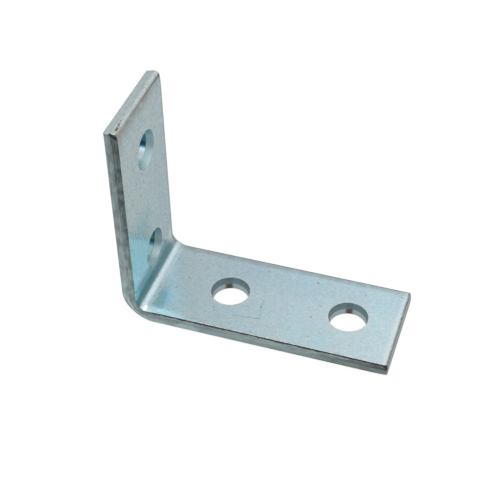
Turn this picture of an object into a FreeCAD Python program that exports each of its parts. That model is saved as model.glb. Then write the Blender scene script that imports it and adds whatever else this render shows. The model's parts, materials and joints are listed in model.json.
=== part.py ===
import FreeCAD, Part
import math
import os

# A right-angled fitting folded from one length of thick strip, with two punched bolt holes in
# each leg. Sizes are in millimetres. X runs along the base from the heel, Y across the strip
# and Z up the upright. The origin is under the middle of the part, on the plane it stands on.

# Strip and legs, measured over the outer faces
strip_width = 41.0
strip_thickness = 5.5
base_length = 105.0
upright_height = 89.0

# Fold: the heel is thinner than the strip, and the metal squeezed on the inside of the fold
# bulges sideways while the stretched outside draws in. The far side, whose inner edge is
# already rolled over, bulges less
fold_inner_radius = 5.5
heel_thinning = 0.6
near_bulge = 0.7
far_bulge = 0.36
heel_draw_in = 0.4
fold_sections = 13

# Sheared edges: a rolled corner at the face where the blade went in, a smooth land as deep as
# the blade cut, and then the torn part, which leans in. The near side and the base's end were
# cut from the outer face, and the far side and the upright's end from the inner face
edge_roll = 0.8
edge_roll_width = 1.2
edge_land_depth = 2.8
edge_tear_inset = 0.45

# The ends are rolled more than the sides, and the blade's face droops towards them
end_roll = 1.6
end_roll_width = 2.4
end_droop = 0.5
end_droop_length = 7.0
corner_radius = 0.6

# Holes, punched from the outer face: a rolled rim, a straight wall, and a cone where the slug
# broke out through the inner face
hole_diameter = 14.0
hole_pitch = 47.6
hole_rim_roll = 0.3
hole_wall_depth = 2.6
hole_breakout = 0.7
base_end_to_hole = 20.3
upright_end_to_hole = 22.2
upright_hole_offset = 1.5

# How far a cutting shape reaches past the metal
overshoot = 5.0

heel_x = -base_length / 2
half_width = strip_width / 2
hole_radius = hole_diameter / 2

# The long edges' rolled corner is an arc that meets the strip's face smoothly
edge_roll_radius = (edge_roll_width ** 2 + edge_roll ** 2) / (2 * edge_roll)

# The inner radius starts inner_start along each leg. The heel's larger radius, which leaves the
# metal thinner by heel_thinning half way round, starts at heel_radius
inner_start = strip_thickness + fold_inner_radius
heel_radius = inner_start + heel_thinning / (math.sqrt(2) - 1)


def upright_point(along, across, depth):
    """A point of the upright: along is its height, depth is in from the outer face."""
    return FreeCAD.Vector(heel_x + depth, across, along)


def base_point(along, across, depth):
    """A point of the base: along runs from the heel, depth is up from the outer face."""
    return FreeCAD.Vector(heel_x + along, across, depth)


def bezier(*poles):
    curve = Part.BezierCurve()
    curve.setPoles(list(poles))
    return curve.toShape()


def quarter_sag(radius):
    """How far in from both sides of a square corner the middle of its rounding lies."""
    return radius * (1 - math.sqrt(0.5))


def inner_reach(angle):
    """How far the inner face is from the heel's centre, looking out from it at this angle."""
    gap = heel_radius - inner_start
    tangent = math.atan2(gap, heel_radius - strip_thickness)
    if min(angle, math.pi / 2 - angle) <= tangent:
        return (heel_radius - strip_thickness) / max(math.cos(angle), math.sin(angle))
    lean = gap * (math.cos(angle) + math.sin(angle))
    return lean + math.sqrt(fold_inner_radius ** 2 - 2 * gap ** 2 + lean ** 2)


def strip_outline(angle):
    """The strip's closed section where the fold has turned this far from the upright."""
    spread = math.sin(2 * angle) ** 2
    thickness = heel_radius - inner_reach(angle)
    land_depth = edge_land_depth * thickness / strip_thickness

    def edge_point(side, bulge, depth, inset):
        shift = spread * ((bulge + heel_draw_in) * depth / thickness - heel_draw_in)
        reach = heel_radius - depth
        along = heel_radius - reach * math.sin(angle)
        across = side * (half_width - inset + shift)
        return upright_point(along, across, heel_radius - reach * math.cos(angle))

    # How deep the blade is at each point of a sheared edge, and how far the edge stands in. The
    # second point is half way round the rolled corner
    half_turn = math.asin(edge_roll_width / edge_roll_radius) / 2
    sheared = [
        (0, edge_roll_width),
        (
            edge_roll_radius * (1 - math.cos(half_turn)),
            edge_roll_width - edge_roll_radius * math.sin(half_turn),
        ),
        (edge_roll, 0),
        (land_depth, 0),
        (thickness, edge_tear_inset),
    ]
    near = [edge_point(-1, near_bulge, cut, inset) for cut, inset in sheared]
    far = [edge_point(1, far_bulge, thickness - cut, inset) for cut, inset in sheared]
    return Part.Wire([
        Part.makeLine(near[0], far[4]),
        Part.makeLine(far[4], far[3]),
        Part.makeLine(far[3], far[2]),
        Part.Arc(far[2], far[1], far[0]).toShape(),
        Part.makeLine(far[0], near[4]),
        Part.makeLine(near[4], near[3]),
        Part.makeLine(near[3], near[2]),
        Part.Arc(near[2], near[1], near[0]).toShape(),
    ])


def folded_strip():
    """Both legs and the fold between them, with the ends left long."""
    quarter = math.pi / 2
    turns = [quarter * i / (fold_sections - 1) for i in range(fold_sections)]
    outlines = [strip_outline(turn) for turn in turns]
    fold = Part.makeLoft(outlines, True, False)
    upright_run = upright_height + overshoot - heel_radius
    base_run = base_length + overshoot - heel_radius
    upright = Part.Face(outlines[0]).extrude(FreeCAD.Vector(0, 0, upright_run))
    base = Part.Face(outlines[-1]).extrude(FreeCAD.Vector(base_run, 0, 0))
    return fold.fuse([upright, base])


def end_cutter(place, end, from_inside):
    """What the blade takes off past a leg's end, cut from the outer face or from_inside."""
    wide = half_width + overshoot

    def spot(back, cut):
        return place(end - back, -wide, strip_thickness - cut if from_inside else cut)

    # The droop is a parabola, and the roll leaves it along its tangent
    share = end_roll_width / end_droop_length
    shoulder = spot(end_roll_width, end_droop * (1 - share) ** 2)
    drooped = bezier(
        spot(end_droop_length, 0),
        spot((end_droop_length + end_roll_width) / 2, 0),
        shoulder,
    )
    rolled = bezier(shoulder, spot(0, end_droop * (1 - share ** 2)), spot(0, end_roll))
    lean = edge_tear_inset / (strip_thickness - edge_land_depth)
    outline = Part.makePolygon([
        spot(0, end_roll),
        spot(0, edge_land_depth),
        spot(edge_tear_inset + lean * overshoot, strip_thickness + overshoot),
        spot(-2 * overshoot, strip_thickness + overshoot),
        spot(-2 * overshoot, -overshoot),
        spot(end_droop_length, -overshoot),
        spot(end_droop_length, 0),
    ])
    face = Part.Face(Part.Wire([drooped, rolled] + outline.Edges))
    return face.extrude(FreeCAD.Vector(0, 2 * wide, 0))


def corner_cutter(place, end, side):
    """What rounds one corner of a leg's end, seen square on to the leg."""
    def spot(back, inward):
        return place(end - back, side * (half_width - inward), -overshoot)

    sag = quarter_sag(corner_radius)
    rounded = Part.Arc(spot(0, corner_radius), spot(sag, sag), spot(corner_radius, 0))
    outline = Part.makePolygon([
        spot(corner_radius, 0),
        spot(corner_radius, -overshoot),
        spot(-overshoot, -overshoot),
        spot(-overshoot, corner_radius),
        spot(0, corner_radius),
    ])
    face = Part.Face(Part.Wire([rounded.toShape()] + outline.Edges))
    through = strip_thickness + 2 * overshoot
    return face.extrude(place(0, 0, through) - place(0, 0, 0))


def hole_cutter(place, along, across):
    """The slug of one punched hole, with its rolled rim and its break-out cone."""
    def wall(radius, depth):
        return place(along + radius, across, depth)

    sag = quarter_sag(hole_rim_roll)
    rim = Part.Arc(
        wall(hole_radius + hole_rim_roll, 0),
        wall(hole_radius + sag, sag),
        wall(hole_radius, hole_rim_roll),
    )
    slope = hole_breakout / (strip_thickness - hole_wall_depth)
    outline = Part.makePolygon([
        wall(hole_radius, hole_rim_roll),
        wall(hole_radius, hole_wall_depth),
        wall(hole_radius + hole_breakout + slope * overshoot, strip_thickness + overshoot),
        wall(0, strip_thickness + overshoot),
        wall(0, -overshoot),
        wall(hole_radius + hole_rim_roll, -overshoot),
        wall(hole_radius + hole_rim_roll, 0),
    ])
    face = Part.Face(Part.Wire([rim.toShape()] + outline.Edges))
    return face.revolve(wall(0, 0), wall(0, 1) - wall(0, 0), 360)


def leg_cutters(place, end, from_inside, end_to_hole, hole_offset):
    """Everything cut from one leg: its end, its two corners and its pair of holes."""
    holes = [end - end_to_hole, end - end_to_hole - hole_pitch]
    cutters = [end_cutter(place, end, from_inside)]
    cutters += [corner_cutter(place, end, side) for side in (1, -1)]
    cutters += [hole_cutter(place, along, hole_offset) for along in holes]
    return cutters


def angle_fitting():
    """The whole fitting, one solid."""
    base = leg_cutters(base_point, base_length, False, base_end_to_hole, 0.0)
    upright = leg_cutters(
        upright_point, upright_height, True, upright_end_to_hole, upright_hole_offset
    )
    return folded_strip().cut(base + upright)


def export(node, shape):
    os.makedirs("parts", exist_ok=True)
    solid = shape.Solids[0] if len(shape.Solids) == 1 else shape
    box = solid.BoundBox
    sizes = f"{box.XLength:.2f} x {box.YLength:.2f} x {box.ZLength:.2f} mm"
    print(node, len(shape.Solids), "solid,", sizes, f"{solid.Volume:.0f} mm3, valid", solid.isValid())
    solid.exportStep(f"parts/{node}.step")


export("angle_fitting", angle_fitting())
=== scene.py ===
import json
import math

import bpy
import numpy as np
from mathutils import Matrix, Vector
from mathutils.geometry import delaunay_2d_cdt


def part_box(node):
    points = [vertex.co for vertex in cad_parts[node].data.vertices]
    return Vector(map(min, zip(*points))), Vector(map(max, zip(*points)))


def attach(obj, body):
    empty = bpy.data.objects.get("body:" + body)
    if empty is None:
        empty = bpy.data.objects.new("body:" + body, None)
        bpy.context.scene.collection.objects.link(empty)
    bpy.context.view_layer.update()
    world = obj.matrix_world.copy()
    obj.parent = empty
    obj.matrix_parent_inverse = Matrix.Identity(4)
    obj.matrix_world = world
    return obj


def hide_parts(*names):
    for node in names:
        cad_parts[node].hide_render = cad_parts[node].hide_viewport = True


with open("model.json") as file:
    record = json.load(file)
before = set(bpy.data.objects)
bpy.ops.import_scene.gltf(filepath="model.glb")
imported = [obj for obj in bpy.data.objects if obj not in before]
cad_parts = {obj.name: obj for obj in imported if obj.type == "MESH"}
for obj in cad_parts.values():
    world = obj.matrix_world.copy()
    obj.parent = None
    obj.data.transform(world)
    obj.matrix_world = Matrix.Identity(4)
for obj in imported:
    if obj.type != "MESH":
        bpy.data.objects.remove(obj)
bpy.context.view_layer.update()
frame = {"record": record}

mm = 0.001
farAway = 1000.0  # in mm, further than any two places on the part
boxLow, boxHigh = (np.array(corner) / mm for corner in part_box("angle_fitting"))
mounts = {mount["name"]: mount for mount in frame["record"]["mounts"]}
print("frame loaded, box in mm", boxLow.round(2), boxHigh.round(2))


# The strip, in mm. Depth is measured from the outer face towards the inner face, and a cut's
# depth from the face where the blade or the punch went in
strip = {
    "width": 41.0,
    "thickness": 5.5,
    "pointStep": 0.45,  # between points along the edges
    "rowStep": 0.25,  # between rows of points down the edges
    "rollRows": 6,
    "edgeRoll": 0.7,  # depth and width of the rolled corner on the long edges
    "edgeRollWidth": 1.05,
    "landDepth": 2.8,  # where the smooth sheared land ends and the tear starts
    "sideTearInset": 0.25,  # how far the tear leans in
    "endTearInset": 0.45,
    "lipBevel": 0.15,  # worn corner where the tear meets the far face
    "endRoll": 1.6,
    "endRollWidth": 2.4,
    "endDroop": 0.5,  # how far the blade's face bends down at the ends
    "endDroopLength": 7.0,
    "topRollGrowth": 0.3,  # the upright's end is rolled more towards the far corner
    "baseRollShare": 0.65,  # and the base's end less than the upright's
    "endReach": 9.0,  # how far back along the sides the points follow the ends
    "cornerRadius": 0.6,
    "cornerSteps": 6,
    "gridStep": 1.8,  # inside the flat faces
    "gridMargin": 0.72,  # which the grid keeps clear of the edges and the holes
    "fineStep": 0.6,  # in the fold, near the ends and beside the near edge
    "fineBeside": -12.5,
    "nearest": 1e-6,  # points of a face nearer than this are one
    "sharpAngle": 40.0,  # edges sharper than this, in degrees, aren't smoothed over
}

fold = {
    "innerRadius": 5.5,
    "heelThinning": 0.6,
    "nearBulge": 0.7,
    "farBulge": 0.36,
    "drawIn": 0.4,
    "curlAcross": [(-20.5, -0.2), (-17.0, 0.12), (-13.0, 0.0)],  # rise of the near inner edge
    "curlAlong": [(5.0, 0.0), (9.0, 1.0), (15.0, 1.0), (21.0, 0.45), (28.0, 0.35), (38.0, 0.0)],
}

hole = {
    "rimRoll": 0.3,
    "wallDepth": 2.6,
    "breakout": 0.7,
    "points": 96,
    "rimRows": 3,
    "wallRows": 4,
    "coneRows": 8,
    "closeRow": 0.07,  # rows this near to the wall's end keep its corner crisp
    "tear": 0.25,  # the cones are much smoother than the sheared edges
    "tearStart": (0.0, 0.4),
    "slack": 0.05,  # a face's middle this far inside the hole's edge is cut away
}

roughness = {
    "tearStart": (-0.01, 0.35),  # where the relief starts and is full, past the land's end
    "tearRelief": 0.09,  # how far the torn bands stand in and out
    "tearScale": 0.55,  # grains per mm
    "detail": 3.0,
    "tearStretch": 0.35,  # of the grains' height against their length
    "ledgeReach": 0.8,
    "ledgeWander": 0.32,  # how far the land's end wanders up and down
    "ledgeScale": 0.42,
    "ledgeSeed": 7.3,
    "burrHeight": 0.13,
    "burrScale": 0.9,
    "burrSeed": 3.1,
    "seed": 4.0,
}

halfWidth = strip["width"] / 2
thickness = strip["thickness"]
heelGap = fold["heelThinning"] / (math.sqrt(2) - 1)
heelRadius = thickness + fold["innerRadius"] + heelGap
foldLength = (heelRadius - thickness / 2) * math.pi / 2
uprightEnd = heelRadius - (boxHigh[2] - boxLow[2])  # along the flat blank
baseEnd = foldLength + (boxHigh[0] - boxLow[0]) - heelRadius
rollRadius = (strip["edgeRollWidth"] ** 2 + strip["edgeRoll"] ** 2) / (2 * strip["edgeRoll"])


def newObject(name, data):
    made = bpy.data.objects.new(name, data)
    bpy.context.scene.collection.objects.link(made)
    return made


def smoothStep(value, low, high):
    t = np.clip((value - low) / (high - low), 0.0, 1.0)
    return t * t * (3 - 2 * t)


# The blank is built flat, as (along, across, depth), and folded afterwards
class Blank:
    def __init__(self):
        self.points = []
        self.faces = []
        self.cutFaces = []  # 1 on sheared and punched faces, 0 on the strip's own skin
        self.marks = {name: [] for name in ("torn", "ledge", "lip", "end", "bore", "inside")}
        self.outward = []

    def add(self, points, outward, **marks):
        first = sum(len(block) for block in self.points)
        count = len(points)
        self.points.append(points)
        self.outward.append(outward)
        for name, values in self.marks.items():
            values.append(np.broadcast_to(np.asarray(marks.get(name, 0.0), float), (count,)))
        return np.arange(first, first + count)

    def wall(self, rings, cutRows):
        # quads between closed rings of point numbers, which run anticlockwise seen from outside
        for lower, upper, cut in zip(rings[:-1], rings[1:], cutRows):
            lowerNext, upperNext = np.roll(lower, -1), np.roll(upper, -1)
            self.faces += np.stack([lower, lowerNext, upperNext, upper], axis=1).tolist()
            self.cutFaces += cut.tolist()


def edgeRows():
    # depths of the rows down the edges, close together at both faces
    turn = np.linspace(0, math.asin(strip["edgeRollWidth"] / rollRadius), strip["rollRows"] + 1)
    rolled = rollRadius * (1 - np.cos(turn))
    middle = np.arange(strip["edgeRoll"], thickness - strip["edgeRoll"], strip["rowStep"])[1:]
    return np.concatenate([rolled, middle, thickness - rolled[::-1]])


def tearInset(cut, inset):
    # how far in the torn part and its worn lip stand
    lean = inset * np.maximum(cut - strip["landDepth"], 0)
    lip = np.maximum(cut - (thickness - strip["lipBevel"]), 0)
    return lean / (thickness - strip["landDepth"]) + lip


def sideInset(cut):
    below = rollRadius - np.minimum(cut, strip["edgeRoll"])
    rolled = strip["edgeRollWidth"] - np.sqrt(rollRadius ** 2 - below ** 2)
    return np.where(cut < strip["edgeRoll"], rolled, tearInset(cut, strip["sideTearInset"]))


def endInset(cut, roll, width):
    # the roll is a curve with one pole between its ends, which leaves the droop smoothly
    share = width / strip["endDroopLength"]
    shoulder = strip["endDroop"] * (1 - share) ** 2
    lead = strip["endDroop"] * (1 - share ** 2)
    bow, slope = shoulder - 2 * lead + roll, lead - shoulder
    t = (np.sqrt(slope ** 2 + bow * np.maximum(cut - shoulder, 0)) - slope) / bow
    rolled = width * (1 - np.clip(t, 0, 1)) ** 2
    return np.where(cut < roll, rolled, tearInset(cut, strip["endTearInset"]))


def faceDepths(along):
    # where the outer and the inner face lie, with the droop that the blade left at the ends
    def droop(toEnd):
        return strip["endDroop"] * np.clip(1 - toEnd / strip["endDroopLength"], 0, 1) ** 2

    return droop(baseEnd - along), thickness - droop(along - uprightEnd)


def tearMarks(cut, landEnd, start, share=1.0):
    # how much of the torn band's relief and of its ledge's wander counts at this depth of cut
    begin, full = start
    return {
        "torn": share * smoothStep(cut, landEnd + begin, landEnd + full),
        "ledge": share * (1 - smoothStep(np.abs(cut - landEnd), 0.0, roughness["ledgeReach"])),
    }


def outlineStations():
    # once round the blank, anticlockwise: near side, base end, far side, upright end. Each is
    # along, across, the share of the end's section, and 1 where the blade came from the inside
    radius, step = strip["cornerRadius"], strip["pointStep"]
    inner = halfWidth - radius
    along = np.linspace(uprightEnd + radius, baseEnd - radius, int((baseEnd - uprightEnd) / step))
    across = np.linspace(-inner, inner, int(strip["width"] / step))
    turn = np.linspace(0, math.pi / 2, strip["cornerSteps"] + 1)[1:-1]
    out, back, share = radius * np.sin(turn), radius * (1 - np.cos(turn)), np.sin(turn) ** 2
    runs = [
        (along, -halfWidth, 0.0, 0.0),
        (baseEnd - radius + out, -halfWidth + back, share, 0.0),
        (baseEnd, across, 1.0, 0.0),
        (baseEnd - back, inner + out, 1 - share, share),
        (along[::-1], halfWidth, 0.0, 1.0),
        (uprightEnd + radius - out, halfWidth - back, share, 1.0),
        (uprightEnd, across[::-1], 1.0, 1.0),
        (uprightEnd + back, -inner - out, 1 - share, 1 - share),
    ]
    return np.concatenate([np.stack(np.broadcast_arrays(*run)) for run in runs], axis=1)


def buildEdges(blank):
    s, y, endness, fromInside = outlineStations()
    radius = strip["cornerRadius"]
    inner = halfWidth - radius
    atBase = s > foldLength
    towards = np.where(atBase, 1.0, -1.0)
    toEnd = np.where(atBase, baseEnd - s, s - uprightEnd)
    follow = 1 - smoothStep(toEnd, radius, strip["endReach"])
    grown = 1 + strip["topRollGrowth"] * y / halfWidth
    roll = strip["endRoll"] * np.where(atBase, strip["baseRollShare"], grown)
    width = roll * strip["endRollWidth"] / strip["endRoll"]
    outer, upper = faceDepths(s - towards * follow * width)
    outward = np.stack([towards * endness, np.sign(y) * (1 - endness), 0 * s], axis=1)
    rowDepths = edgeRows()
    rings, cuts = [], []
    for depth in rowDepths:
        placed = outer + (upper - outer) * depth / thickness
        sideCut = np.where(y < 0, depth, thickness - depth)
        endCut = np.where(atBase, placed, thickness - placed)
        cut = sideCut * (1 - endness) + endCut * endness
        nearIn, farIn = sideInset(depth), sideInset(thickness - depth)
        spread = nearIn + (y + inner) / (2 * inner) * (2 * inner - nearIn - farIn) - inner
        turned = y - np.sign(y) * np.where(y < 0, nearIn, farIn)
        across = np.where(np.abs(y) > inner, turned, spread)
        along = s - towards * follow * endInset(endCut, roll, width)
        last, first = float(depth == rowDepths[-1]), float(depth == rowDepths[0])
        rings.append(blank.add(
            np.stack([along, across, placed], axis=1), outward,
            lip=last * (1 - fromInside) - first * fromInside, end=endness, inside=fromInside,
            **tearMarks(cut, strip["landDepth"], roughness["tearStart"]),
        ))
        cuts.append(cut)
    cuts = np.array(cuts)
    rolled = strip["edgeRoll"] * (1 - endness) + roll * endness
    blank.wall(rings, ((cuts[:-1] + cuts[1:]) / 2 > rolled).astype(float))
    return rings[0], rings[-1]


def holeCentres():
    base, upright = mounts["base_bolts"], mounts["upright_bolts"]
    centres = []
    for side in (-0.5, 0.5):
        along = base["pos_m"][0] / mm - boxLow[0] + side * base["dims"]["spacing_x_mm"]
        centres.append((foldLength + along - heelRadius, base["pos_m"][1] / mm))
        height = upright["pos_m"][2] / mm + side * upright["dims"]["spacing_y_mm"]
        centres.append((heelRadius - height, upright["pos_m"][1] / mm))
    return centres


def holeRows(radius):
    rim, wall = hole["rimRoll"], hole["wallDepth"]
    turn = np.linspace(0, math.pi / 2, hole["rimRows"] + 1)
    close = hole["closeRow"]
    wallDepths = np.append(np.linspace(rim, wall - close, hole["wallRows"] + 1)[1:], wall)
    coneDepths = np.linspace(wall + close, thickness, hole["coneRows"])
    depth = np.concatenate([rim * (1 - np.cos(turn)), wallDepths, coneDepths])
    reach = radius + np.concatenate([
        rim * (1 - np.sin(turn)),
        0 * wallDepths,
        hole["breakout"] * (coneDepths - wall) / (thickness - wall),
    ])
    return depth, reach


def buildHole(blank, centre, radius):
    depths, reaches = holeRows(radius)
    turn = np.linspace(0, 2 * math.pi, hole["points"], endpoint=False)[::-1]
    spoke = np.stack([np.cos(turn), np.sin(turn), 0 * turn], axis=1)
    rings = []
    for row, (depth, reach) in enumerate(zip(depths, reaches)):
        points = spoke * reach + np.array([centre[0], centre[1], depth])
        rings.append(blank.add(
            points, -spoke, lip=hole["tear"] * float(row == len(depths) - 1), bore=1.0,
            **tearMarks(depth, hole["wallDepth"], hole["tearStart"], hole["tear"]),
        ))
    rows = np.arange(len(depths) - 1)[:, None] + 0 * turn
    blank.wall(rings, (rows >= hole["rimRows"]).astype(float))
    return rings[0], rings[-1]


def buildFace(blank, outline, rims, centres, faceUp):
    # fills a face between its outline and the hole rims, with a grid of points inside
    points = np.concatenate(blank.points)
    coarse, fine, droop = strip["gridStep"], strip["fineStep"], strip["endDroopLength"]
    alongGrid = [
        np.arange(uprightEnd, uprightEnd + droop, fine),
        np.arange(uprightEnd + droop, -fine, coarse),
        np.arange(0, foldLength + fine / 2, fine),
        np.arange(foldLength + coarse, baseEnd - droop, coarse),
        np.arange(baseEnd - droop, baseEnd, fine),
    ]
    acrossGrid = [
        np.arange(-halfWidth, strip["fineBeside"], fine),
        np.arange(strip["fineBeside"], halfWidth + coarse, coarse),
    ]
    grid = np.array([
        (a, c) for a in np.concatenate(alongGrid) for c in np.concatenate(acrossGrid)
    ])
    border, margin = points[outline][:, :2], strip["gridMargin"]
    inside = np.all(
        (grid > border.min(axis=0) + margin) & (grid < border.max(axis=0) - margin), axis=1
    )
    centres, reaches = np.array(centres), []
    for rim, centre in zip(rims, centres):
        reach = np.linalg.norm(points[rim][:, :2] - centre, axis=1).max()
        inside &= np.linalg.norm(grid - centre, axis=1) > reach + margin
        reaches.append(reach - hole["slack"])
    grid = grid[inside]
    depths = faceDepths(grid[:, 0])[1 if faceUp else 0]
    gridNumbers = blank.add(np.column_stack([grid, depths]), np.zeros((len(grid), 3)))
    numbers = np.concatenate([outline, *rims, gridNumbers])
    plan = np.concatenate([points[np.concatenate([outline, *rims])][:, :2], grid])
    edges, first = [], 0
    for loop in (outline, *rims):
        edges += [(first + i, first + (i + 1) % len(loop)) for i in range(len(loop))]
        first += len(loop)
    filled = delaunay_2d_cdt([Vector(p) for p in plan], edges, [], 1, strip["nearest"])
    source = [ids[0] for ids in filled[3]]
    for face in filled[2]:
        corners = [source[v] for v in face]
        away = np.linalg.norm(plan[corners].mean(axis=0) - centres, axis=1)
        if any(away < reaches):
            continue
        turned = corners if faceUp else corners[::-1]
        blank.faces.append(numbers[turned].tolist())
        blank.cutFaces.append(0.0)


def blankObject():
    blank = Blank()
    outer, inner = buildEdges(blank)
    centres = holeCentres()
    radius = mounts["base_bolts"]["dims"]["hole_r_mm"]
    rims = [buildHole(blank, centre, radius) for centre in centres]
    buildFace(blank, outer, [rim[0] for rim in rims], centres, False)
    buildFace(blank, inner, [rim[1] for rim in rims], centres, True)
    mesh = bpy.data.meshes.new("fittingBlank")
    points = np.concatenate(blank.points) * mm
    mesh.from_pydata(points.tolist(), [], blank.faces)

    def store(name, values, kind="FLOAT", domain="POINT"):
        layer = mesh.attributes.new(name, kind, domain)
        slot = "value" if kind == "FLOAT" else "vector"
        layer.data.foreach_set(slot, np.ravel(values).astype(np.float32))

    for name, values in blank.marks.items():
        store(name, np.concatenate(values))
    store("outward", np.concatenate(blank.outward), "FLOAT_VECTOR")
    store("cut", blank.cutFaces, domain="FACE")
    mesh.validate()
    print("flat blank:", len(mesh.vertices), "points,", len(mesh.polygons), "faces")
    return newObject("fitting", mesh)


# Makes and joins the nodes of the fold's tree, the material, the floor and the world
class Nodes:
    def __init__(self, tree):
        self.tree = tree

    def add(self, kind, values=None, **settings):
        node = self.tree.nodes.new(kind)
        for name, value in settings.items():
            setattr(node, name, value)
        for name, value in (values or {}).items():
            self.feed(node.inputs[name], value)
        return node

    def feed(self, socket, value):
        if isinstance(value, bpy.types.NodeSocket):
            self.tree.links.new(value, socket)
        else:
            socket.default_value = value

    def math(self, operation, *values):
        node = self.tree.nodes.new("ShaderNodeMath")
        node.operation = operation
        for socket, value in zip(node.inputs, values):
            self.feed(socket, value)
        return node.outputs[0]

    def vectors(self, operation, first, second):
        node = self.add("ShaderNodeVectorMath", {0: first, 1: second}, operation=operation)
        return node.outputs["Value" if operation in ("DOT_PRODUCT", "DISTANCE") else "Vector"]

    def split(self, vector):
        return self.add("ShaderNodeSeparateXYZ", {0: vector}).outputs

    def scaled(self, colour, factor):
        node = self.add("ShaderNodeVectorMath", {0: colour, "Scale": factor}, operation="SCALE")
        return node.outputs["Vector"]

    def toned(self, colour, tone, share):
        return self.scaled(colour, self.blend(share, 1.0, tone))

    def times(self, first, *others):
        for other in others:
            first = self.math("MULTIPLY", first, other)
        return first

    def rest(self, share):
        return self.math("SUBTRACT", 1.0, share)

    def blend(self, share, first, second):
        return self.math("MULTIPLY_ADD", share, self.math("SUBTRACT", second, first), first)

    def vector(self, x, y, z):
        return self.add("ShaderNodeCombineXYZ", {"X": x, "Y": y, "Z": z}).outputs[0]

    def ramp(self, value, low, high, toLow=0.0, toHigh=1.0):
        node = self.add(
            "ShaderNodeMapRange",
            {"Value": value, "From Min": low, "From Max": high, "To Min": toLow, "To Max": toHigh},
            interpolation_type="SMOOTHSTEP",
        )
        return node.outputs[0]

    def steps(self, value, stops):
        # a smooth run through the (place, result) pairs given
        total = stops[0][1]
        for (start, before), (stop, after) in zip(stops, stops[1:]):
            total = self.math("ADD", total, self.ramp(value, start, stop, 0.0, after - before))
        return total

    def tinted(self, colour, share, tint):
        film = self.mix(share, (1.0, 1.0, 1.0), tint)
        return self.vectors("MULTIPLY", colour, film)

    def mix(self, share, first, second):
        node = self.add("ShaderNodeMix", data_type="RGBA")
        for socket, value in zip((node.inputs[0], node.inputs[6], node.inputs[7]),
                                 (share, first, second)):
            self.feed(socket, (*value, 1) if isinstance(value, tuple) else value)
        return node.outputs[2]

    def noise(self, place, scale, detail=2.0, roughness=0.5, seed=0.0):
        node = self.add(
            "ShaderNodeTexNoise",
            {"Vector": place, "W": seed, "Scale": scale, "Detail": detail, "Roughness": roughness},
            noise_dimensions="4D",
        )
        return node.outputs[0]

    def stretch(self, place, x, y, z, shift=0.0):
        node = self.add("ShaderNodeMapping",
                        {"Vector": place, "Location": (shift, shift, 0), "Scale": (x, y, z)})
        return node.outputs[0]

    def scatter(self, place, cell, size, share, shift=0.0, longer=1.0):
        # one small mark in some of the cells of a loose grid, of up to the size given
        spread = self.stretch(place, 1 / longer, 1.0, 1.0, shift)
        node = self.add("ShaderNodeTexVoronoi", {"Vector": spread, "Scale": 1 / cell},
                        voronoi_dimensions="2D")
        chance = self.add("ShaderNodeSeparateColor", {0: node.outputs["Color"]}).outputs
        reach = self.times(chance["Green"], size / cell)
        near = self.rest(self.ramp(node.outputs["Distance"], 0.0, reach))
        return self.times(near, self.math("LESS_THAN", chance["Red"], share))

    def stroke(self, place, start, end, reach):
        # 1 on the line from start to end, fading to 0 at the reach
        run = Vector(end) - Vector(start)
        away = self.vectors("SUBTRACT", place, start)
        part = self.math("DIVIDE", self.vectors("DOT_PRODUCT", away, run), run.length_squared)
        part = self.math("MINIMUM", self.math("MAXIMUM", part, 0.0), 1.0)
        beside = self.vectors("DISTANCE", away, self.scaled(run, part))
        return self.rest(self.ramp(beside, 0.0, reach))


def emptyNodes(owner):
    owner.use_nodes = True
    owner.node_tree.nodes.clear()
    return Nodes(owner.node_tree)


def position(n):
    return n.add("GeometryNodeInputPosition").outputs[0]


def raggedOffset(n, given):
    # the torn bands' relief, the wander of their ledges, and the burrs on their lips
    def mark(name, kind="FLOAT"):
        return n.add("GeometryNodeInputNamedAttribute", {"Name": name}, data_type=kind).outputs[0]

    def uneven(scale, size, name, seedShift=0.0, stretch=0.0):
        # noise of both signs, of this size where the mark is 1
        x, y, z = n.split(n.scaled(position(n), given[scale]))
        seed = n.math("ADD", given["Seed"], seedShift)
        noise = n.noise(n.vector(x, y, n.times(z, stretch)), 1.0, roughness["detail"], seed=seed)
        return n.times(n.math("MULTIPLY_ADD", noise, 2.0, -1.0), given[size], mark(name))

    tear = uneven("Tear Scale", "Tear Relief", "torn", stretch=roughness["tearStretch"])
    ledge = uneven("Ledge Scale", "Ledge Wander", "ledge", roughness["ledgeSeed"])
    burr = uneven("Burr Scale", "Burr Height", "lip", roughness["burrSeed"])
    push = n.scaled(mark("outward", "FLOAT_VECTOR"), tear)
    return n.vectors("ADD", push, n.vector(0.0, 0.0, n.math("ADD", ledge, burr)))


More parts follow.
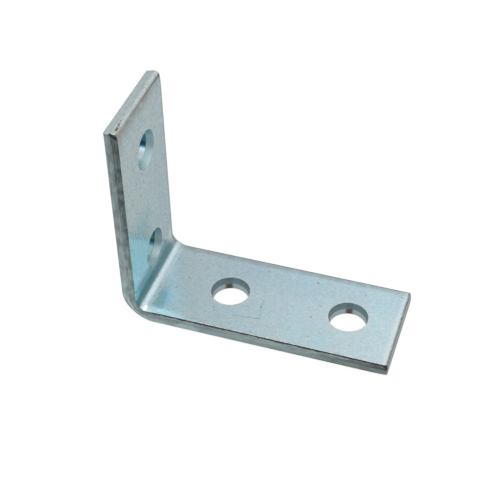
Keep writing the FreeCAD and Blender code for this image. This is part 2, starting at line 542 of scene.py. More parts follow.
def foldedPlace(n, given):
    # the heel turns about one centre, and the inner radius about another a little further out
    m = n.math
    along, across, depth = n.split(position(n))
    share = m("MINIMUM", m("MAXIMUM", m("DIVIDE", along, given["Fold Length"]), 0.0), 1.0)
    angle = m("MULTIPLY", share, math.pi / 2)
    cosine, sine = m("COSINE", angle), m("SINE", angle)
    radius, gap = given["Heel Radius"], given["Heel Gap"]
    flatReach = m("SUBTRACT", radius, given["Thickness"])
    lineReach = m("DIVIDE", flatReach, m("MAXIMUM", cosine, sine))
    lean = m("MULTIPLY", gap, m("ADD", cosine, sine))
    inside = m("SUBTRACT", m("POWER", given["Inner Radius"], 2.0),
               m("MULTIPLY", m("POWER", gap, 2.0), 2.0))
    arcReach = m("ADD", lean, m("SQRT", m("ADD", inside, m("POWER", lean, 2.0))))
    tangent = m("ARCTAN2", gap, flatReach)
    onArc = m("GREATER_THAN", m("MINIMUM", angle, m("SUBTRACT", math.pi / 2, angle)), tangent)
    reach = n.blend(onArc, lineReach, arcReach)
    thinned = m("DIVIDE", m("SUBTRACT", radius, reach), given["Thickness"])

    # the near inner edge curls up, and the sides bulge inside the fold and draw in outside it
    through = m("DIVIDE", depth, given["Thickness"])
    curl = n.times(n.steps(m("DIVIDE", across, mm), fold["curlAcross"]),
                   n.steps(m("DIVIDE", along, mm), fold["curlAlong"]), given["Curl"])
    arm = m("SUBTRACT", radius, m("MULTIPLY", m("MULTIPLY_ADD", curl, through, depth), thinned))
    side = m("MULTIPLY_ADD", m("DIVIDE", across, given["Half Width"]), 0.5, 0.5)
    bulge = n.blend(side, given["Near Bulge"], given["Far Bulge"])
    shift = m("SUBTRACT", m("MULTIPLY", m("ADD", bulge, given["Draw In"]), through),
              given["Draw In"])
    spread = m("POWER", m("SINE", m("MULTIPLY", angle, 2.0)), 2.0)
    wider = m("MULTIPLY_ADD", m("DIVIDE", shift, given["Half Width"]), spread, 1.0)

    before = m("MINIMUM", along, 0.0)
    after = m("MAXIMUM", m("SUBTRACT", along, given["Fold Length"]), 0.0)
    x = m("ADD", m("ADD", given["Heel X"], radius), m("SUBTRACT", after, n.times(arm, cosine)))
    z = m("SUBTRACT", m("SUBTRACT", radius, before), m("MULTIPLY", arm, sine))
    return n.vector(x, m("MULTIPLY", across, wider), z)


# Geometry nodes that roughen the torn bands, keep each point's place on the blank for the
# material, and fold the blank
def foldTree(material):
    sizes = {
        "Thickness": thickness * mm,
        "Half Width": halfWidth * mm,
        "Heel X": boxLow[0] * mm,
        "Heel Radius": heelRadius * mm,
        "Inner Radius": fold["innerRadius"] * mm,
        "Heel Gap": heelGap * mm,
        "Fold Length": foldLength * mm,
        "Near Bulge": fold["nearBulge"] * mm,
        "Far Bulge": fold["farBulge"] * mm,
        "Draw In": fold["drawIn"] * mm,
        "Curl": mm,
        "Tear Relief": roughness["tearRelief"] * mm,
        "Tear Scale": roughness["tearScale"] / mm,
        "Ledge Wander": roughness["ledgeWander"] * mm,
        "Ledge Scale": roughness["ledgeScale"] / mm,
        "Burr Height": roughness["burrHeight"] * mm,
        "Burr Scale": roughness["burrScale"] / mm,
        "Seed": roughness["seed"],
    }
    tree = bpy.data.node_groups.new("foldStrip", "GeometryNodeTree")
    face = tree.interface
    face.new_socket("Geometry", in_out="INPUT", socket_type="NodeSocketGeometry")
    for name in sizes:
        face.new_socket(name, in_out="INPUT", socket_type="NodeSocketFloat")
    face.new_socket("Material", in_out="INPUT", socket_type="NodeSocketMaterial")
    face.new_socket("Geometry", in_out="OUTPUT", socket_type="NodeSocketGeometry")
    n = Nodes(tree)
    given = n.add("NodeGroupInput").outputs

    def step(kind, before, values, **settings):
        return n.add(kind, {"Geometry": before, **values}, **settings).outputs[0]

    metal = step("GeometryNodeSetPosition", given["Geometry"], {"Offset": raggedOffset(n, given)})
    metal = step("GeometryNodeStoreNamedAttribute", metal, {"Name": "blank", "Value": position(n)},
                 data_type="FLOAT_VECTOR", domain="POINT")
    metal = step("GeometryNodeSetPosition", metal, {"Position": foldedPlace(n, given)})
    metal = step("GeometryNodeRealizeInstances", metal, {})
    metal = step("GeometryNodeSetMaterial", metal, {"Material": given["Material"]})
    n.add("NodeGroupOutput", {"Geometry": metal})
    return tree, {**sizes, "Material": material}


def applyTree(piece, tree, values):
    modifier = piece.modifiers.new(tree.name, "NODES")
    modifier.node_group = tree
    for item in tree.interface.items_tree:
        if item.item_type == "SOCKET" and item.in_out == "INPUT" and item.name in values:
            modifier[item.identifier] = values[item.name]
    piece.update_tag()
    graph = bpy.context.evaluated_depsgraph_get()
    made = bpy.data.meshes.new_from_object(
        piece.evaluated_get(graph), preserve_all_data_layers=True, depsgraph=graph
    )
    piece.modifiers.remove(modifier)
    piece.data = made


# Bright zinc plate. Colours are linear, sizes in mm, and scales in features per mm. The material
# reads measures of the surface, which Surface makes. A measure's name with two numbers is a
# smooth ramp from 0 to 1 between them, or from the third number to the fourth, and with a list
# it is a smooth run through (place, result) pairs. A share is the product of its parts
innerFace = ("depth", 0.5, 0.6)

# Noise: stretch along, across and through the strip, scale, detail, roughness and seed
evenly = (1.0, 1.0, 1.0)
patterns = {
    "grain": (evenly, 2.6, 3.0, 0.6, 9.0),
    "fine": ((0.7, 1.0, 1.0), 1.5, 2.0, 0.6, 3.0),
    "clouds": (evenly, 0.11, 3.0, 0.5, 0.0),
    "lilacClouds": (evenly, 0.066, 2.0, 0.5, 5.0),
    "beigeClouds": (evenly, 0.176, 2.0, 0.5, 8.0),
    "wander": (evenly, 0.35, 2.0, 0.5, 12.0),
    "ragged": ((1.0, 0.3, 0.0), 0.9, 3.0, 0.7, 6.0),
    "streaks": ((0.12, 0.12, 1.6), 1.1, 3.0, 0.6, 4.0),
    "patches": ((0.5, 0.5, 1.0), 0.5, 3.0, 0.6, 14.0),
    "grooves": ((0.25, 0.25, 1.0), 1.8, 3.0, 0.6, 4.0),
}

# Small marks in a loose grid: the grid's cell, the greatest size, the share of the cells that
# have one, the grid's shift, and how far the marks are drawn out along the strip
specks = {
    "darkSpecks": (4.2, 0.45, 0.75, 1.7, 1.6),
    "flaws": (2.3, 0.42, 0.5, 4.1, 2.2),
    # painted glints, as scattered bright specks
    "sparks": (6.0, 0.4, 0.55, 5.3, 1.0),
}

# Marks placed one by one, along and across the flat strip: from, to, reach and strength
placedMarks = {
    "scratches": [
        ((45.0, -12.2), (50.2, -11.8), 0.22, 0.6),
        ((50.2, -11.8), (55.3, -11.3), 0.24, 0.8),
        ((55.3, -11.3), (54.0, -4.9), 0.2, 0.5),
        ((54.0, -5.4), (54.0, -4.4), 0.4, 0.8),
        ((54.0, -4.9), (53.9, -0.9), 0.2, 0.5),
        ((59.0, 4.4), (60.2, 5.2), 0.25, 0.4),
    ],
    # bright worn spots, and painted glints at the fold's near end (the last three)
    "brightMarks": [
        ((54.4, 2.4), (55.6, 3.4), 0.35, 0.9),
        ((54.8, 6.2), (55.1, 6.6), 0.3, 0.8),
        ((61.3, 14.2), (61.8, 14.8), 0.45, 0.9),
        ((75.4, -15.9), (76.6, -15.7), 0.4, 0.9),
        ((90.6, -17.7), (90.9, -17.2), 0.45, 0.9),
        ((100.9, -1.9), (102.1, -1.7), 0.4, 0.9),
        ((45.5, -18.4), (46.0, -18.0), 0.4, 0.7),
        ((8.3, -19.8), (10.0, -18.3), 1.3, 0.9),
        ((12.2, -19.3), (12.6, -19.0), 0.5, 0.8),
        ((16.4, -18.9), (17.0, -18.8), 0.4, 0.7),
    ],
    "darkSpots": [
        ((71.2, 14.6), (71.8, 14.5), 0.5, 0.8),
        ((73.9, -4.5), (73.9, -4.1), 0.45, 0.8),
        ((91.1, 13.3), (91.1, 13.9), 0.4, 0.7),
        ((104.6, 16.4), (105.2, 16.0), 0.4, 0.8),
        ((50.7, 15.4), (51.2, 15.3), 0.45, 0.7),
        ((36.2, -10.5), (36.6, -10.4), 0.45, 0.7),
        ((27.0, 9.8), (27.2, 9.8), 0.4, 0.6),
        ((-75.6, -11.0), (-74.4, -11.2), 0.8, 0.5),
        ((-54.9, -10.8), (-53.6, -10.8), 0.45, 0.6),
        ((-47.1, -9.1), (-45.9, -9.1), 0.4, 0.6),
        ((-33.6, -6.5), (-32.6, -6.3), 0.4, 0.6),
    ],
    "stains": [
        ((-75.2, -14.6), (-70.6, -12.2), 2.6, 0.25),
        ((-74.5, -18.4), (-68.0, -18.4), 3.0, 0.45),
        ((-4.2, -3.2), (-1.6, -3.6), 2.8, 0.85),
    ],
    # the stains on the sheared edges have a depth too
    "edgeStains": [
        ((-76.2, -20.5, 2.9), (-74.2, -20.5, 5.2), 1.0, 0.85),
        ((-75.2, -20.5, 4.4), (-75.0, -20.5, 5.3), 1.2, 0.85),
        ((-51.6, -20.5, 5.0), (-51.2, -20.5, 5.2), 0.8, 0.9),
        ((106.9, -20.4, 4.7), (107.2, -20.3, 4.3), 1.6, 0.9),
    ],
    "rollStains": [
        ((-76.4, -18.0, 4.1), (-76.4, -16.2, 4.0), 0.9, 0.85),
        ((-76.4, -15.2, 3.9), (-76.4, -13.8, 3.7), 0.7, 0.7),
        ((-76.4, -12.4, 3.5), (-76.4, -11.8, 3.5), 0.6, 0.6),
        ((-76.4, -8.8, 3.2), (-76.4, -8.4, 3.2), 0.6, 0.7),
    ],
}


class Surface:
    # measures of the place on the flat strip, and of the marks and patterns there
    def __init__(self, nodes):
        m = nodes.math
        self.nodes = nodes
        blank = nodes.add("ShaderNodeAttribute", attribute_name="blank").outputs["Vector"]
        self.place = nodes.stretch(blank, 1 / mm, 1 / mm, 1 / mm)
        self.along, self.across, self.depth = nodes.split(self.place)
        for name in ("cut", "torn", "end", "bore", "inside"):
            mark = nodes.add("ShaderNodeAttribute", attribute_name=name)
            setattr(self, name, mark.outputs["Fac"])
        for name, (stretch, *settings) in patterns.items():
            noise = nodes.noise(nodes.stretch(self.place, *stretch), *settings)
            setattr(self, name, noise)
        for name, settings in specks.items():
            setattr(self, name, nodes.scatter(self.place, *settings))
        for name, marks in placedMarks.items():
            setattr(self, name, self.placedMask(marks))
        self.fromTop = m("SUBTRACT", self.along, uprightEnd)
        self.toEnd = m("SUBTRACT", baseEnd, self.along)
        flat = nodes.vector(self.along, self.across, 0.0)
        self.toHole = farAway
        for centre in holeCentres():
            away = nodes.vectors("DISTANCE", flat, (*centre, 0.0))
            self.toHole = m("MINIMUM", away, self.toHole)

    def placedMask(self, marks):
        mask = 0.0
        for start, end, reach, strength in marks:
            start, end = ((*point, thickness)[:3] for point in (start, end))
            line = self.nodes.stroke(self.place, start, end, reach)
            mask = self.nodes.math("MAXIMUM", self.nodes.times(line, strength), mask)
        return mask

    def part(self, given):
        # a number, the name of a measure, or a measure with its ramp or run
        if isinstance(given, float):
            return given
        if isinstance(given, str):
            return getattr(self, given)
        name, *ends = given
        run = self.nodes.steps if isinstance(ends[0], list) else self.nodes.ramp
        return run(getattr(self, name), *ends)

    def share(self, parts):
        return self.nodes.times(*[self.part(given) for given in parts])


plate = {
    "blue": (0.60, 0.80, 0.87),
    "grey": (0.63, 0.79, 0.84),
    "lilac": (0.63, 0.76, 0.87),
    "beige": (0.70, 0.78, 0.78),
    "brown": (0.44, 0.47, 0.44),
    "dirt": (0.34, 0.31, 0.26),
    "band": (0.50, 0.60, 0.61),
    "speck": (0.22, 0.29, 0.30),
    "bright": (0.93, 0.97, 0.98),
    "cream": (0.91, 0.96, 0.95),
    "topCream": (0.93, 1.0, 0.97),
    "rust": (0.16, 0.15, 0.12),
    "crestWander": 1.6,  # how far the near edge's painted highlight on the crest wanders
    "topWander": 0.8,  # and the painted highlight at the upright's end
    "topCrest": [innerFace, ("raggedTop", 1.7, 0.9)],
    "mottle": ("along", 5.0, -5.0, 0.5, 0.9),
    "tones": ("along", [(-36.0, 0.98), (-24.0, 1.0), (88.0, 1.0), (97.0, 1.04)]),
    "roughness": 0.19,
    "foldRoughness": ("along", [  # added in the crumpled inside of the fold
        (-1.0, 0.0), (3.0, 0.36), (5.6, 0.36), (8.0, -0.04), (10.2, -0.04), (12.6, 0.13),
        (15.5, 0.1), (19.0, 0.0),
    ]),
    "crestRoughness": 0.5,
    "grainRoughness": 0.12,
}

# Colours over the blue, in the order they are laid on: each with one or more shares, of which
# the greatest counts
skinLayers = [
    ("grey", [("clouds", 0.35, 0.65)]),
    ("lilac", [("lilacClouds", 0.5, 0.75), 0.6]),
    ("beige", [("toHole", 10.5, 7.6), 0.55], [("beigeClouds", 0.55, 0.75), 0.275]),
    # painted shade below the upright's end, partly a greyish-brown smudge there, and painted shade
    # along the far edge
    ("brown", [innerFace, ("fromTop", 8.0, 2.0), ("fromTop", 5.0, 1.5, 0.5, 0.8),
               ("across", 4.0, 14.0, 1.0, 0.45), ("wander", 0.3, 0.6, 0.55, 1.0)]),
    ("band", [innerFace, ("across", 16.4, 18.4), ("along", 5.0, 14.0),
              ("wander", 0.3, 0.6, 0.55, 1.0)],
     [innerFace, ("across", 17.9, 19.0), ("along", 9.0, 3.0, 0.0, 0.9)]),
    ("speck", ["darkSpecks", 0.7]),
    ("speck", ["flaws", ("along", 10.0, 40.0, 0.75, 0.25)]),
    ("brown", ["stains", ("fine", 0.25, 0.6, 0.5, 1.0)]),
    ("speck", ["scratches"], ["darkSpots"]),
    # bright worn spots, and painted glints at the fold's near end
    ("bright", ["brightMarks"]),
    # painted glints scattered along the base
    ("bright", ["sparks", ("along", 20.0, 60.0, 0.0, 0.6)]),
    # a painted highlight on the torn crest along the near edge, and the lines beside both ends: a
    # painted highlight and a dotted painted shade at the base's end, and a painted highlight at the
    # upright's end
    ("bright", [innerFace, ("raggedAcross", -18.8, -19.3), ("along", 0.0, 15.0, 0.0, 0.8)]),
    ("cream", [innerFace, ("toEnd", 3.4, 1.7), ("toEnd", 0.9, 1.3, 0.0, 0.55)]),
    ("dirt", [innerFace, ("toEnd", 1.2, 0.75), ("toEnd", 0.2, 0.6),
              ("fine", 0.35, 0.6, 0.2, 0.85)]),
    ("topCream", [*plate["topCrest"], 0.9]),
]

# Tints on the inner face, most of them painted light and shade: its tint and its share
innerTints = [
    # a painted reflection of the base, cyan, low on the upright, and painted shade in the crease
    ((0.69, 0.87, 0.87), [("along", -34.0, -24.0), ("along", 8.0, 4.0), ("across", 4.0, -6.0)]),
    ((0.50, 0.70, 0.70), [("along", 1.5, 4.6), ("along", 8.8, 6.4), ("across", 17.5, 14.5)]),
    # a painted reflection, bluer, beside the crease, and a painted highlight, paler, at the fold's
    # near end
    ((0.80, 1.03, 1.10), [("along", 11.5, 13.5), ("along", 21.0, 17.0),
                          ("across", -18.3, -16.6), ("across", -6.5, -10.5)]),
    ((1.22, 1.14, 1.12), [("along", 10.4, 12.5), ("along", 20.0, 16.5), ("across", -8.0, -17.0)]),
    # bluer along the far side
    ((0.91, 0.95, 0.98), [("across", 0.0, 11.0), ("along", [
        (-60.0, 0.0), (-48.0, 1.0), (-6.0, 1.0), (2.0, 0.0), (26.0, 0.0), (36.0, 0.9)])]),
]

# Painted light and shade along the crease, and a painted reflection in the hollow beside it: tone
# and share
paintedCreaseLight = [
    (("across", [(-18.5, 1.6), (-14.5, 1.15), (0.0, 1.18), (8.0, 0.95), (12.0, 0.9), (14.5, 1.1),
                 (16.5, 1.5), (17.8, 1.5), (19.0, 1.05)]),
     [("along", -2.5, 1.0), ("along", 5.2, 3.2)]),
    (("along", [(10.6, 1.0), (11.3, 0.84), (12.0, 0.9), (13.0, 1.24), (14.4, 1.2), (16.2, 1.0)]),
     [("across", -18.5, -16.0), ("across", -1.0, -5.0)]),
]


def skinColour(n, on):
    m = n.math
    on.raggedAcross = m("MULTIPLY_ADD", on.ragged, plate["crestWander"], on.across)
    on.raggedTop = m("MULTIPLY_ADD", on.fine, plate["topWander"], on.fromTop)
    face = plate["blue"]
    for colour, *shares in skinLayers:
        share = on.share(shares[0])
        for other in shares[1:]:
            share = m("MAXIMUM", share, on.share(other))
        face = n.mix(share, face, plate[colour])
    for tint, share in innerTints:
        face = n.tinted(face, on.share([innerFace, *share]), tint)
    for tone, share in paintedCreaseLight:
        face = n.toned(face, on.part(tone), on.share([innerFace, *share]))
    mottle = m("MULTIPLY_ADD", m("SUBTRACT", on.fine, 0.5), on.part(plate["mottle"]), 1.0)
    return n.scaled(face, n.times(mottle, on.part(plate["tones"])))


# The sheared edges: a pale land, a dark tear and a painted shadow line under the torn lip
shear = {
    "land": (0.365, 0.47, 0.49),
    "landPale": (0.61, 0.77, 0.80),
    "tear": (0.165, 0.215, 0.22),
    "tearPale": (0.405, 0.51, 0.525),
    # the upright's end is painted lighter than the base's end, as painted light
    "topEnd": (0.80, 0.94, 0.96),
    "baseEnd": (0.60, 0.68, 0.69),
    "darkLine": (0.10, 0.10, 0.09),
    "stain": (0.10, 0.10, 0.085),
    "rollStain": (0.36, 0.32, 0.24),
    "onBase": ("along", 10.0, 25.0),
    "streakShares": (0.45, 0.75),  # of the streaks against the patches, upright and base
    "streakEdge": (0.4, 0.6),
    "calm": ("along", [(30.0, 0.0), (48.0, 0.55), (78.0, 0.55), (90.0, 0.0)]),  # fewer streaks
    "calmStreak": 0.6,
    "landTones": ("along", [(-76.0, 0.82), (-40.0, 0.9), (-10.0, 1.1), (10.0, 1.28), (22.0, 1.22),
                            (60.0, 0.95), (100.0, 0.72)]),
    "tearTones": ("along", [(-76.0, 0.86), (-40.0, 0.96), (-10.0, 1.1), (18.0, 0.8), (35.0, 1.05),
                            (55.0, 1.9), (78.0, 1.8), (92.0, 1.15), (100.0, 1.0)]),
    "paleTear": [("along", -45.0, -12.0), ("along", 60.0, 30.0), 0.6],  # less deep by the fold
    "layerWander": 1.2,
    "layers": ("wavyDepth", [(1.6, 1.0), (2.3, 1.12), (2.8, 1.0), (3.3, 0.72), (3.7, 0.85),
                             (4.4, 1.35), (5.0, 1.2)]),
    "layersFrom": ("along", 80.0, 92.0),
    "dirty": [("patches", 0.5, 0.62), ("along", 84.0, 98.0, 0.0, 0.6)],
    "top": ("along", 0.0, -1.0),
    "endStreaks": (0.93, 1.07),
    "endTones": ("depth", 1.5, 4.0, 0.86, 1.0),
    # the painted shadow line under the torn lip: its wander, its share, and its strength on the
    # ends
    "lineWander": 1.8,
    "line": [("toLip", 0.88, 0.4), ("along", 0.0, 20.0, 0.15, 1.0)],
    "endLine": 0.5,
    "stainBreaks": ("fine", 0.25, 0.55, 0.4, 1.3),
    "stainEdge": (0.25, 0.6),
    "landRoughness": 0.34,
    "tearRoughness": 0.5,
}


def shearColour(n, on):
    m = n.math
    on.wavyDepth = m("MULTIPLY_ADD", m("SUBTRACT", on.patches, 0.5), shear["layerWander"], on.depth)
    on.toLip = m("MULTIPLY_ADD", m("SUBTRACT", on.ragged, 0.5), shear["lineWander"],
                 m("SUBTRACT", thickness, on.depth))
    streakShare = n.ramp(on.part(shear["onBase"]), 0.0, 1.0, *shear["streakShares"])
    streak = n.ramp(n.blend(streakShare, on.patches, on.streaks), *shear["streakEdge"])
    streak = n.blend(on.part(shear["calm"]), streak, shear["calmStreak"])
    land = n.scaled(n.mix(streak, shear["land"], shear["landPale"]), on.part(shear["landTones"]))
    tear = n.scaled(n.mix(streak, shear["tear"], shear["tearPale"]), on.part(shear["tearTones"]))
    side = n.mix(on.torn, land, n.mix(on.share(shear["paleTear"]), tear, land))
    side = n.toned(side, on.part(shear["layers"]), on.part(shear["layersFrom"]))
    side = n.mix(on.share(shear["dirty"]), side, plate["dirt"])
    atTop = on.part(shear["top"])
    # the upright's end painted lighter than the base's, as painted light
    ends = n.mix(atTop, shear["baseEnd"], shear["topEnd"])
    ends = n.scaled(ends, n.ramp(streak, 0.0, 1.0, *shear["endStreaks"]))
    ends = n.scaled(ends, m("MAXIMUM", on.part(shear["endTones"]), atTop))
    # a painted shadow line under the torn lip
    line = n.times(on.share(shear["line"]), n.rest(on.inside),
                   n.blend(on.end, 1.0, shear["endLine"]))
    return n.mix(line, n.mix(on.end, side, ends), shear["darkLine"])


def stained(n, on, face):
    for marks, colour in ((on.edgeStains, "stain"), (on.rollStains, "rollStain")):
        spots = n.times(marks, on.part(shear["stainBreaks"]))
        face = n.mix(n.ramp(spots, *shear["stainEdge"]), face, shear[colour])
    return face


# The bores, in painted light and shade: the lower bore and the base's cones are darker as painted
# shade. In the upright's, the top of the wall has a painted dark reflection, and below is how far
# down from a bore's middle a place is, and beside how far to its far side
bore = {
    "baseWall": (0.60, 0.74, 0.79),
    "baseCone": (0.345, 0.49, 0.54),
    "upperWall": (0.55, 0.69, 0.735),
    "lowerWall": (0.34, 0.51, 0.54),
    "upperCone": (0.55, 0.745, 0.795),
    "lowerCone": (0.50, 0.67, 0.70),
    "pale": (0.76, 0.97, 1.0),
    "film": (0.065, 0.25, 0.33),
    "upperRim": (0.08, 0.44, 0.68),  # where the painted reflection thins out
    "lowerRim": (0.07, 0.26, 0.38),
    "cone": ("depth", hole["wallDepth"] - 0.1, hole["wallDepth"] + 0.25),
    "base": ("along", 0.0, foldLength),
    "lower": ("along", -40.0, -30.0),
    "reach": 12.0,  # a place further along than this is in another bore
    "filmLower": 0.8,  # how much lower the painted reflection ends in the lower bore
    "filmFull": ("raised", 3.5, 3.0),
    "filmReach": [("raised", 4.5, 3.3), ("below", -3.0, -1.0), ("beside", 4.0, 5.2)],
    "glow": ("raised", 5.5, 4.2),  # a painted highlight just below the painted reflection, in the upper bore
    "ceiling": (-2.5, -5.0),  # and painted light, pale, at the very top, towards the near side
    "tilt": 0.5,
    "tiltFrom": 2.8,
    "paleFrom": (3.0, 6.0),  # how far below the middle the cone gets pale, a painted reflection
    "rustShifts": (-2.8, -1.2),  # the rusty patches on the far wall of the base's bores
    "rustWander": 0.8,
    "rustAlong": (2.4, 1.0),
    "rustAcross": (3.0, 5.0),
    "coneRust": 0.25,
    "wallRoughness": 0.16,
    "coneRoughness": 0.45,
}


def measureBores(n, on):
    m = n.math
    on.inCone, on.lower = on.part(bore["cone"]), on.part(bore["lower"])
    on.below, on.beside, on.rusty = farAway, 0.0, 0.0
    shifts = list(bore["rustShifts"])
    for along, across in holeCentres():
        aside, beside = m("SUBTRACT", on.along, along), m("SUBTRACT", on.across, across)
        if along > foldLength:
            away = m("ABSOLUTE", m("SUBTRACT", aside, shifts.pop(0)))
            away = m("MULTIPLY_ADD", on.fine, bore["rustWander"], away)
            patch = n.times(n.ramp(away, *bore["rustAlong"]), n.ramp(beside, *bore["rustAcross"]))
            on.rusty = m("MAXIMUM", patch, on.rusty)
        else:
            far = m("GREATER_THAN", m("ABSOLUTE", aside), bore["reach"])
            on.below = m("MINIMUM", m("MULTIPLY_ADD", far, farAway, aside), on.below)
            on.beside = beside
    on.raised = m("SUBTRACT", on.below, n.times(on.lower, bore["filmLower"]))


def boreColour(n, on):
    m = n.math
    measureBores(n, on)
    upper = n.rest(on.lower)
    # painted light: pale at the top, a painted dark reflection on the upper wall with a painted
    # highlight below it, and the cones paler lower down
    ceiling = n.ramp(m("ADD", on.below, on.beside), *bore["ceiling"])
    film = n.mix(on.lower, bore["upperRim"], bore["lowerRim"])
    film = n.mix(on.part(bore["filmFull"]), film, bore["film"])
    wall = n.mix(on.lower, bore["upperWall"], bore["lowerWall"])
    wall = n.mix(n.times(on.part(bore["glow"]), upper), wall, bore["pale"])
    wall = n.mix(on.share(bore["filmReach"]), wall, film)
    wall = n.mix(ceiling, wall, bore["pale"])
    tilted = m("MULTIPLY_ADD", m("SUBTRACT", on.beside, bore["tiltFrom"]),
               n.times(upper, bore["tilt"]), on.below)
    pale = m("MAXIMUM", n.ramp(tilted, *bore["paleFrom"]), ceiling)
    cone = n.mix(pale, n.mix(on.lower, bore["upperCone"], bore["lowerCone"]), bore["pale"])
    onBase = on.part(bore["base"])
    wall = n.mix(on.rusty, n.mix(onBase, wall, bore["baseWall"]), plate["rust"])
    cone = n.mix(n.times(on.rusty, bore["coneRust"]), n.mix(onBase, cone, bore["baseCone"]),
                 plate["rust"])
    return n.mix(on.inCone, wall, cone)


# Fine bumps: the skin's grain, and the grooves that the blade left on the sheared edges
bumps = {
    "grain": 0.12,
    "grooves": 0.8,
    "height": 0.06,
    "strength": 0.5,
}


def zincMaterial():
    material = bpy.data.materials.new("brightZinc")
    n = emptyNodes(material)
    m = n.math
    on = Surface(n)
    sheared = n.mix(on.bore, shearColour(n, on), boreColour(n, on))
    face = stained(n, on, n.mix(on.cut, skinColour(n, on), sheared))

    shearRough = n.blend(on.torn, shear["landRoughness"], shear["tearRoughness"])
    boreRough = n.blend(on.inCone, bore["wallRoughness"], bore["coneRoughness"])
    skinRough = m("ADD", on.part(plate["foldRoughness"]), plate["roughness"])
    skinRough = m("MULTIPLY_ADD", on.share(plate["topCrest"]), plate["crestRoughness"], skinRough)
    rough = n.blend(on.cut, skinRough, n.blend(on.bore, shearRough, boreRough))
    uneven = m("SUBTRACT", on.grain, 0.5)
    rough = m("MULTIPLY_ADD", uneven, plate["grainRoughness"], rough)

    ground = n.times(n.rest(on.bore), on.cut, on.grooves, bumps["grooves"])
    height = m("MULTIPLY_ADD", on.grain, bumps["grain"], ground)
    bump = n.add("ShaderNodeBump", {"Height": height, "Distance": bumps["height"] * mm,
                                    "Strength": bumps["strength"]})
    shader = n.add("ShaderNodeBsdfPrincipled", {"Base Color": face, "Metallic": 1.0,
                                                "Roughness": rough, "Normal": bump.outputs[0]})
    n.add("ShaderNodeOutputMaterial", {"Surface": shader.outputs[0]})
    return material


zinc = zincMaterial()
fitting = blankObject()
applyTree(fitting, *foldTree(zinc))
fitting.data.polygons.foreach_set("use_smooth", [True] * len(fitting.data.polygons))
fitting.data.set_sharp_from_angle(angle=math.radians(strip["sharpAngle"]))
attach(fitting, "root")
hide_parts("angle_fitting")
print("fitting folded:", len(fitting.data.polygons), "faces")


# Camera, in mm, and the angle it is turned about its own axis
camera = {
    "place": (99.18, -309.58, 326.37),
    "target": (-14.85, 14.01, 20.0),
    "roll": 1.434,
    "focalPixels": 1171.15,
    "framePixels": 485,
    "sensor": 36.0,
    "clipStart": 10.0,
}


def addCamera():
    data = bpy.data.cameras.new("view")
    data.sensor_fit = "HORIZONTAL"
    data.sensor_width = camera["sensor"]
    data.lens = camera["focalPixels"] / camera["framePixels"] * camera["sensor"]
    data.clip_start = camera["clipStart"] * mm
    rig = newObject("view", data)
    place, target = Vector(camera["place"]) * mm, Vector(camera["target"]) * mm
    aim = (target - place).to_track_quat("-Z", "Y").to_matrix().to_4x4()
    turn = Matrix.Rotation(math.radians(-camera["roll"]), 4, "Z")
    rig.matrix_world = Matrix.Translation(place) @ aim @ turn
    bpy.context.scene.camera = rig


addCamera()


# Floor and light. Each light has its degrees round from straight behind, its degrees above the
# horizon, its widths, which are where it starts and where it is full, and its strength
studio = {
    "floorSize": 6.0,
    "floorColour": (0.76, 0.75, 0.73),
    "floorWhite": 0.8,  # share of plain white that the camera sees in the floor
    "floorGlow": 1.15,
    "shineTint": (1.0, 0.99, 0.94),  # the floor as the metal sees it, with a painted glow near the part that fades far off
    "shineDistance": (0.12, 0.45),
    "shineShare": (0.25, 0.75),
    "shineGlow": (0.83, 0.10),
    "shineFront": (-0.06, 0.01, 0.6, 1.0),  # and weaker in front of the part, a painted shade
    "darkPatch": ((-0.13, -0.06), (-0.01, 0.09)),  # a painted shadow behind the upright, in X and Y
    "darkEdge": 0.012,
    "darkShare": 0.9,
    "darkGlow": 0.08,
    "horizon": 0.185,
    "sky": 0.51,
    "skyRise": (0.20, 0.53),  # sine of the heights between which it brightens
    "lights": [
        (40.0, 32.0, (36.0, 1.0), 0.45),
        (-8.0, 45.5, (15.0, 1.0), 0.36),
        (0.0, 90.0, (40.0, 5.0), 0.5),
        (200.0, 43.0, (40.0, 10.0), 0.35),
        (38.0, 57.0, (16.0, 6.0), 0.6),
    ],
}


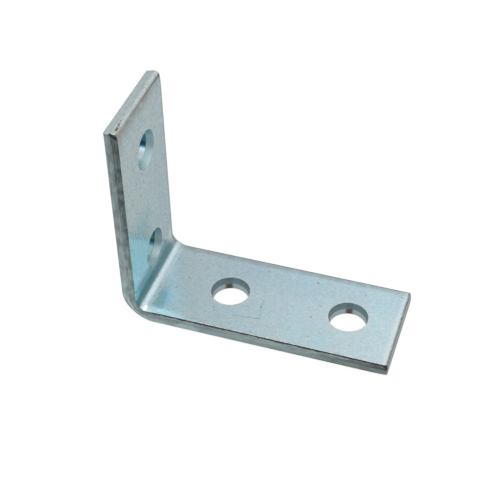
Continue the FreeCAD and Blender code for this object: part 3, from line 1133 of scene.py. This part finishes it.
def addFloor():
    half = studio["floorSize"] / 2
    mesh = bpy.data.meshes.new("floor")
    mesh.from_pydata([(-half, -half, 0), (half, -half, 0), (half, half, 0), (-half, half, 0)],
                     [], [(0, 1, 2, 3)])
    floor = newObject("floor", mesh)
    material = bpy.data.materials.new("palePaper")
    n = emptyNodes(material)
    m = n.math
    rays = n.add("ShaderNodeLightPath").outputs
    seen = rays["Is Camera Ray"]
    reflected = m("MAXIMUM", rays["Is Glossy Ray"], rays["Is Transmission Ray"])
    place = n.add("ShaderNodeTexCoord").outputs["Object"]
    x, y, _ = n.split(place)
    away = n.vectors("DISTANCE", place, (0.0, 0.0, 0.0))
    # in reflections only: a painted shadow behind the upright, a painted glow near the part, and
    # painted shade in front of it
    dark, edge = 1.0, studio["darkEdge"]
    for where, (low, high) in zip((x, y), studio["darkPatch"]):
        dark = n.times(n.ramp(where, low - edge, low), n.ramp(where, high + edge, high), dark)
    shineShare = n.ramp(away, *studio["shineDistance"], *studio["shineShare"])
    shineShare = n.blend(dark, shineShare, studio["darkShare"])
    glow = n.ramp(away, *studio["shineDistance"], *studio["shineGlow"])
    glow = n.times(glow, n.ramp(y, *studio["shineFront"]), n.blend(dark, 1.0, studio["darkGlow"]))
    share = m("ADD", n.times(seen, studio["floorWhite"]), n.times(reflected, shineShare))
    strength = m("ADD", n.times(seen, studio["floorGlow"]), n.times(reflected, glow))
    paper = n.add("ShaderNodeBsdfDiffuse", {"Color": (*studio["floorColour"], 1)})
    tint = n.mix(seen, studio["shineTint"], (1.0, 1.0, 1.0))
    shine = n.add("ShaderNodeEmission", {"Color": tint, "Strength": strength})
    mixed = n.add("ShaderNodeMixShader", {0: share, 1: paper.outputs[0], 2: shine.outputs[0]})
    n.add("ShaderNodeOutputMaterial", {"Surface": mixed.outputs[0]})
    mesh.materials.append(material)


def addWorld():
    world = bpy.data.worlds.new("studio")
    bpy.context.scene.world = world
    n = emptyNodes(world)
    m = n.math
    way = n.add("ShaderNodeTexCoord").outputs["Generated"]
    light = n.ramp(n.split(way)[2], *studio["skyRise"], studio["horizon"], studio["sky"])
    for *turns, widths, glow in studio["lights"]:
        around, above, outer, inner = (math.radians(angle) for angle in (*turns, *widths))
        centre = (math.sin(around) * math.cos(above), math.cos(around) * math.cos(above),
                  math.sin(above))
        aside = m("ARCCOSINE", n.vectors("DOT_PRODUCT", way, centre))
        light = m("ADD", light, n.ramp(aside, outer, inner, 0.0, glow))
    seen = n.add("ShaderNodeLightPath").outputs["Is Camera Ray"]
    strength = n.blend(seen, light, 1.0)
    back = n.add("ShaderNodeBackground", {"Color": (1, 1, 1, 1), "Strength": strength})
    n.add("ShaderNodeOutputWorld", {"Surface": back.outputs[0]})


addFloor()
addWorld()
bpy.context.scene.view_settings.view_transform = "Standard"
print("camera, floor and light placed")
